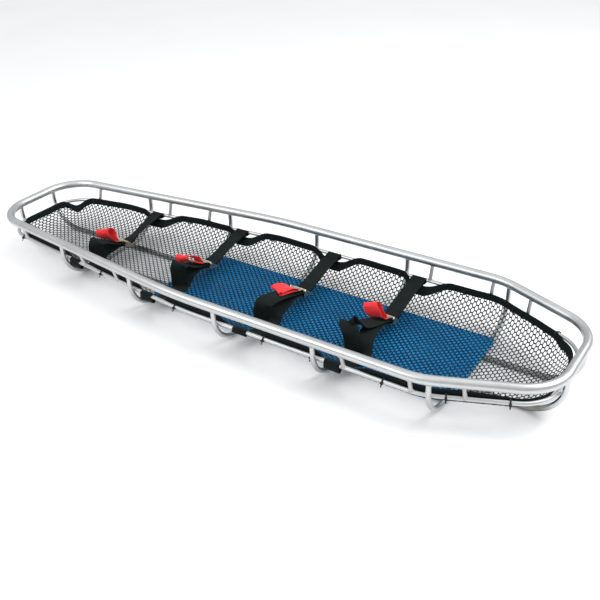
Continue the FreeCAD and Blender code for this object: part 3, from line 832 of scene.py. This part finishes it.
def tie(shell, x, side):
    """Cable tie: band round the rail and the tape, locking head outside, cut tail."""
    plan, normal = around(np.array([station(x, side)]), NET_RAIL_INSET)
    outward = np.array([normal[0, 0], normal[0, 1], 0])
    along = np.array([-normal[0, 1], normal[0, 0], 0])
    up = np.array([0, 0, 1.0])
    centre = np.array([plan[0, 0], plan[0, 1], NET_RAIL_Z])
    path = smooth_path(TIE_LOOP + TIE_LOOP[:1], 5)[:-1]
    points = centre + path[:, :1] * outward + path[:, 1:] * up
    webbing(shell, points, along, 4.8, 1.2, closed=True)
    head = []
    for level, grow in ((-4.2, 0.8), (-3.6, 1), (2.4, 1), (3.0, 0.8)):
        ring = []
        for a, b in ((-1, -1), (1, -1), (1, 1), (-1, 1)):
            ring.append(centre + outward * (9.6 + a * 2.6 * grow) + along * b * 3.6 * grow + up * level)
        head.append(ring)
    sweep(shell, head)
    tail = smooth_path(TIE_TAIL, 4)
    points = centre + tail[:, :1] * outward + tail[:, 1:] * up
    webbing(shell, points, along, 3.6, 1.2)


def build_ties():
    for side in SIDES:
        shell = Shell()
        for x in TIE_X:
            tie(shell, x, side)
        finish_piece(shell.piece("net_ties_" + side, TIE, 45), ["cable_ties_" + side])


# ---------------------------------------------------------------- straps

def tilted(number, y, z):
    """(y, z) of a point given in a buckle's own plane."""
    return (BUCKLE_Y[number - 1] + y * math.cos(BUCKLE_TILT) + z * math.sin(BUCKLE_TILT),
            BUCKLE_Z - y * math.sin(BUCKLE_TILT) + z * math.cos(BUCKLE_TILT))


def turn_round(centre, radius, first, last, steps=8):
    """(y, z) points round a centre, angles in degrees."""
    return [(centre[0] + radius * math.cos(a), centre[1] + radius * math.sin(a))
            for a in np.radians(np.linspace(first, last, steps))]


def stitched_box(shell, start, end, sides, out, width, lift):
    """Box of stitches with its crossing diagonals, between two places along a strap."""
    reach = width / 2 - 5
    corners = [start - sides * reach, start + sides * reach, end + sides * reach, end - sides * reach]
    legs = [(0, 1), (1, 2), (2, 3), (3, 0), (0, 2), (1, 3)]
    for a, b in legs:
        span = corners[b] - corners[a]
        count = max(3, int(np.linalg.norm(span) / 4.5))
        points = corners[a] + span * (np.arange(count)[:, None] + 0.5) / count + out * lift
        stitch_row(shell, points, out, 3.2, 0.45)


def far_strap(number, x, threads):
    """Webbing sewn round the left net rail, straight down to the buckle's end bar and sewn round it."""
    rail = np.array([half_width(x, NET_RAIL_INSET), NET_RAIL_Z])
    bar = np.array(tilted(number, 20, 0))
    rail_r, bar_r = NET_RAIL_R + 1.3, END_BAR_R + 1.3
    along = unit(bar - rail)
    above = np.array([along[1], -along[0]])
    away = math.degrees(math.atan2(above[1], above[0]))
    top_rail, top_bar = rail + above * rail_r, bar + above * bar_r
    path = [top_rail + along * 62 - above * 2.2, top_rail + along * 40 - above * 2.4,
            rail + along * 14 - above * 5.6]
    path += turn_round(rail, rail_r, away + 200, away, 9)
    path += [top_rail + along * step for step in (16, 40, 75)]
    path += [top_bar - along * step for step in (60, 30, 9)]
    path += turn_round(bar, bar_r, away, away + 190, 8)
    path += [bar - along * 12 - above * 3.2, top_bar - along * 48 - above * 2.2]
    line = smooth_path([tuple(point) for point in path], 4)
    shell = Shell()
    spread = np.clip((line[:, 0] - bar[0]) / (rail[0] - bar[0]), 0, 1)
    twist = math.radians(TWIST[number]) * np.sin(np.pi * spread ** 0.7)
    sides = np.column_stack([np.cos(twist), np.zeros(len(line)), np.sin(twist)])
    webbing(shell, np.column_stack([np.full(len(line), x), line]), sides)
    piece = shell.piece(f"far_strap_web_{number}", BLACK_WEB)
    finish_piece(piece, [f"far_strap_{number}"])
    out = np.array([0, *above])
    for base, near, far in ((top_rail, 24, 56), (top_bar, -42, -14)):
        first, second = base + along * near, base + along * far
        stitched_box(threads, np.array([x, *first]), np.array([x, *second]), np.array([1.0, 0, 0]), out,
                     STRAP_WIDTH, STRAP_THICK / 2 + 0.2)


# Straps as (x shift, y, z, tilt, yaw), y from the strap's own buckle; a positive tilt lifts the foot-side
# edge and a positive yaw turns it towards the right rail. RISES run up to the buckle, TAILS hang free.
RISES = {
    1: [(-6, -132, 38, 0, 4), (-16, -108, 42, 10, 10), (-19, -88, 54, 20, 12), (-14, -62, 62, 18, 10),
        (-3, -40, 65, 6, 4)],
    2: [(-3, -160, 34, 0, 4), (-7, -124, 34, 8, 8), (-9, -106, 46, 16, 12), (-7, -88, 63, 18, 10),
        (-2, -58, 71, 6, 2)],
    3: [(5, -172, 34, 0, 2), (2, -152, 37, 8, 6), (0, -140, 50, 18, 10), (-1, -112, 61, 20, 8),
        (-1, -66, 69, 6, 2)],
    4: [(20, -190, 36, 0, 6), (19, -178, 44, 8, 16), (14, -160, 71, 14, 22), (8, -134, 84, 16, 16),
        (3, -100, 85, 10, 8), (0, -60, 78, 4, 2)],
}
TAILS = {
    1: [(-2, -50, 85, 8, 2), (-3, -72, 98, 14, 12), (-5, -96, 110, 18, 24), (-7, -111, 111, 18, 34),
        (-7, -119, 98, 12, 38), (-7, -121, 74, 4, 38), (-6, -121, 47, 0, 38)],
    2: [(-3, -60, 85, 8, 2), (-4, -90, 100, 14, 12), (-5, -113, 116, 18, 24), (-6, -127, 119, 14, 32),
        (-6, -135, 106, 8, 36), (-6, -136, 80, 2, 36), (-6, -136, 42, 0, 36)],
    3: [(-3, -60, 85, 8, 2), (-6, -100, 98, 15, 10), (-9, -145, 108, 18, 22), (-13, -176, 108, 16, 32),
        (-15, -188, 94, 10, 38), (-16, -190, 72, 3, 38), (-16, -190, 48, 0, 38)],
    4: [(-4, -60, 86, 6, 2), (-9, -95, 97, 14, 12), (-18, -128, 107, 14, 26), (-32, -150, 120, 8, 38),
        (-42, -162, 129, 4, 42), (-36, -173, 123, 4, 38), (-22, -181, 108, 4, 30), (-14, -186, 88, 3, 22),
        (-11, -188, 68, 2, 16), (-11, -189, 48, 0, 14)],
}
# How far each strap's turn hangs below the right net rail, and how far its sewn half twists, in degrees.
HANG = {1: 24, 2: 24, 3: 11, 4: 24}
TWIST = {1: 20, 2: 6, 3: 0, 4: 0}


def near_strap_path(number, x):
    """Rows of (x shift, y, z, tilt, yaw) from the right net rail through the buckle to the free end."""
    edge = half_width(x)
    buckle = BUCKLE_Y[number - 1]
    layer = MIDDLE_BAR_R + 1.0
    rail = (-half_width(x, NET_RAIL_INSET), NET_RAIL_Z)
    hang = turn_round(rail, NET_RAIL_R + 1.6, 20, 180, 7)
    slack = [(rail[0] + across, NET_RAIL_Z - HANG[number] * down)
             for across, down in ((-9.5, 0.42), (-7, 0.83), (0, 1), (6, 0.83))]
    down_net = [(inward - edge, z) for inward, z in ((34, 79), (47, 64), (66, 50), (88, 40))]
    path = [(0, y, z, 0, 0) for y, z in hang + slack + down_net]
    path += [(shift, buckle + y, z, tilt, yaw) for shift, y, z, tilt, yaw in RISES[number]
             if buckle + y > 90 - edge]
    path += [(0, *tilted(number, -30, -layer), 0, 0)]
    path += [(0, *tilted(number, layer * math.sin(a), -layer * math.cos(a)), 0, 0)
             for a in np.radians(range(0, 181, 30))]
    path += [(0, *tilted(number, -26, layer + 0.2), 0, 0)]
    path += [(shift, buckle + y, z, tilt, yaw) for shift, y, z, tilt, yaw in TAILS[number]]
    return smooth_path(path, 5)


def near_strap(number, x, threads):
    """Webbing hanging slack from the right net rail, up round the buckle's middle bar, and a free tail."""
    line = near_strap_path(number, x)
    tilt, yaw = np.radians(line[:, 3]), np.radians(line[:, 4])
    sides = np.column_stack([np.cos(tilt) * np.cos(yaw), np.sin(yaw), -np.sin(tilt)])
    shell = Shell()
    points, sides, out = webbing(shell, line[:, :3] + (x, 0, 0), sides)
    piece = shell.piece(f"near_strap_web_{number}", BLACK_WEB)
    finish_piece(piece, [f"near_strap_{number}"])
    for row in (-3, -6):
        across = np.linspace(-STRAP_WIDTH / 2 + 4, STRAP_WIDTH / 2 - 4, 10)
        spots = points[row] + sides[row] * across[:, None] + out[row] * (STRAP_THICK / 2 + 0.15)
        stitch_row(threads, spots, out[row])


def build_straps():
    threads = Shell()
    for number, x in zip(STRAPS, STRAP_X):
        far_strap(number, x, threads)
        near_strap(number, x, threads)
    finish_piece(threads.piece("strap_stitches", THREAD, 0))


# ---------------------------------------------------------------- red pull loops

# Rows of (along, up, x shift, width, yaw), along and up in the buckle's own plane, from the lever's slot
# and back to it, and how much of each loop's yaw also tips it.
LOOP_NECK = [(-38, 12.2, 0, 36, 0), (-45, 12.4, 0, 37, 0)]
LOOPS = {
    1: [(-56, 18, -7, 42, 8), (-70, 25, -16, 46, 18), (-80, 34, -24, 47, 26), (-80, 44, -28, 47, 28),
        (-67, 49, -29, 46, 26), (-52, 45, -23, 45, 20), (-44, 35, -15, 42, 10), (-43, 25, -6, 39, 3)],
    2: [(-60, 13, -8, 42, 8), (-79, 13, -19, 46, 16), (-93, 16, -28, 47, 22), (-97, 23, -31, 47, 24),
        (-88, 30, -28, 47, 22), (-67, 31, -19, 46, 14), (-51, 27, -9, 42, 6), (-45, 22, -2, 38, 1)],
    3: [(-62, 13, -6, 43, -8), (-82, 11, -14, 48, -18), (-97, 8, -21, 50, -25), (-104, 9, -24, 50, -27),
        (-101, 13, -23, 50, -26), (-88, 19, -18, 48, -22), (-66, 23, -9, 44, -12), (-48, 20, -1, 38, -2)],
    4: [(-56, 16, -7, 42, 10), (-67, 26, -17, 44, 20), (-73, 37, -25, 44, 26), (-74, 46, -29, 43, 28),
        (-66, 53, -33, 41, 26), (-54, 48, -31, 41, 22), (-46, 36, -21, 40, 14), (-44, 25, -9, 39, 4)],
}
LOOP_DIP = {1: 0.35, 2: 0.35, 3: 0.55, 4: 0.35}
LOOP_END = [(-39.5, 17.6, 0, 36, 0)]


def pull_loop(number, x):
    """Red webbing loop through the lever's slot, sewn to itself."""
    rows = LOOP_NECK + LOOPS[number] + LOOP_END
    line = smooth_path(rows + rows[:1], 6)[:-1]
    points = np.array([(x + shift, *tilted(number, y, z)) for y, z, shift, _, _ in line])
    yaw = np.radians(line[:, 4])
    sides = np.column_stack([np.cos(yaw), np.sin(yaw), LOOP_DIP[number] * np.sin(yaw)])
    shell = Shell()
    webbing(shell, points, sides, line[:, 3], 1.8, closed=True)
    piece = shell.piece(f"red_loop_{number}", RED_WEB)
    finish_piece(piece, [f"pull_loop_{number}"], f"cam_{number}")


def build_loops():
    for number, x in zip(STRAPS, STRAP_X):
        pull_loop(number, x)


# ---------------------------------------------------------------- studio

def build_floor():
    """Plain pale floor, just under the skids."""
    mesh = bpy.data.meshes.new("studio_floor")
    reach = 9.0
    mesh.from_pydata([(-reach, -reach, 0), (reach, -reach, 0), (reach, reach, 0), (-reach, reach, 0)], [],
                     [(0, 1, 2, 3)])
    floor = bpy.data.objects.new("studio_floor", mesh)
    bpy.context.scene.collection.objects.link(floor)
    finish = Finish("studio_paper", Roughness=0.9)
    finish.colour(finish.ramp(finish.noise(2.0, 2), (0.90, 0.90, 0.90), (0.92, 0.92, 0.92)))
    mesh.materials.append(finish.material)
    floor.location.z = -0.0004


def area_light(name, place, size, power):
    """Softbox that faces the litter's middle, placed in metres."""
    light = bpy.data.lights.new(name, "AREA")
    light.shape = "RECTANGLE"
    light.size, light.size_y = size
    light.energy = power
    lamp = bpy.data.objects.new(name, light)
    lamp.location = place
    lamp.rotation_euler = (-Vector(place)).to_track_quat("-Z", "Y").to_euler()
    bpy.context.scene.collection.objects.link(lamp)


# Brightness of the surroundings from straight down (0) to straight up (1): pale, with a darker band round
# the horizon that shades the tubes.
SKY_LEVELS = ((0.10, 0.20), (0.18, 0.85), (0.36, 0.92), (0.44, 0.50), (0.58, 0.52), (0.66, 1.06))
SKY_LOW, SKY_HIGH = 0.20, 1.05
SKY_TINT = np.array([0.985, 1, 1.02])


def build_world():
    world = bpy.data.worlds.new("studio")
    bpy.context.scene.world = world
    world.use_nodes = True
    nodes, links = world.node_tree.nodes, world.node_tree.links
    coords = nodes.new("ShaderNodeTexCoord")
    split = nodes.new("ShaderNodeSeparateXYZ")
    links.new(coords.outputs["Generated"], split.inputs["Vector"])
    ramp = nodes.new("ShaderNodeValToRGB")
    elements = ramp.color_ramp.elements
    elements[0].position, elements[0].color = 0.0, (SKY_LOW, SKY_LOW, SKY_LOW, 1)
    elements[1].position, elements[1].color = 1.0, (SKY_HIGH, SKY_HIGH, SKY_HIGH, 1)
    for position, value in SKY_LEVELS:
        elements.new(position).color = (*(SKY_TINT * value), 1)
    links.new(split.outputs["Z"], ramp.inputs["Fac"])
    links.new(ramp.outputs["Color"], nodes["Background"].inputs["Color"])
    nodes["Background"].inputs["Strength"].default_value = 1.0


CAMERA_PLACE = (1.4375, -1.8578, 1.4461)
CAMERA_ANGLES = (34.354, 31.594, 2.037)  # azimuth, elevation and roll in degrees
CAMERA_LENS, SENSOR_WIDTH = 49.17, 36


def build_camera():
    """Camera at the picture's viewing angle."""
    azimuth, elevation, roll = np.radians(CAMERA_ANGLES).tolist()
    back = Vector((math.sin(azimuth) * math.cos(elevation), -math.cos(azimuth) * math.cos(elevation),
                   math.sin(elevation)))
    ahead = -back
    right = ahead.cross(Vector((0, 0, 1))).normalized()
    down = ahead.cross(right)
    rolled_right = right * math.cos(roll) + down * math.sin(roll)
    rolled_down = -right * math.sin(roll) + down * math.cos(roll)
    data = bpy.data.cameras.new("studio_camera")
    data.sensor_width = SENSOR_WIDTH
    data.lens = CAMERA_LENS
    data.clip_end = 50
    camera = bpy.data.objects.new("studio_camera", data)
    axes = Matrix((rolled_right, -rolled_down, back)).transposed()
    camera.matrix_world = Matrix.Translation(CAMERA_PLACE) @ axes.to_4x4()
    bpy.context.scene.collection.objects.link(camera)
    bpy.context.scene.camera = camera


dress_cad_nodes()
build_welds()
net = build_net()
tape, stitches = build_tape()
build_panel()
build_ties()
build_straps()
build_loops()
build_floor()
area_light("key_softbox", (2.2, 1.4, 2.8), (2.6, 2.0), 95)
area_light("fill_softbox", (-1.5, -2.6, 2.6), (3.0, 2.0), 45)
build_world()
build_camera()
bpy.context.scene.view_settings.view_transform = "Standard"
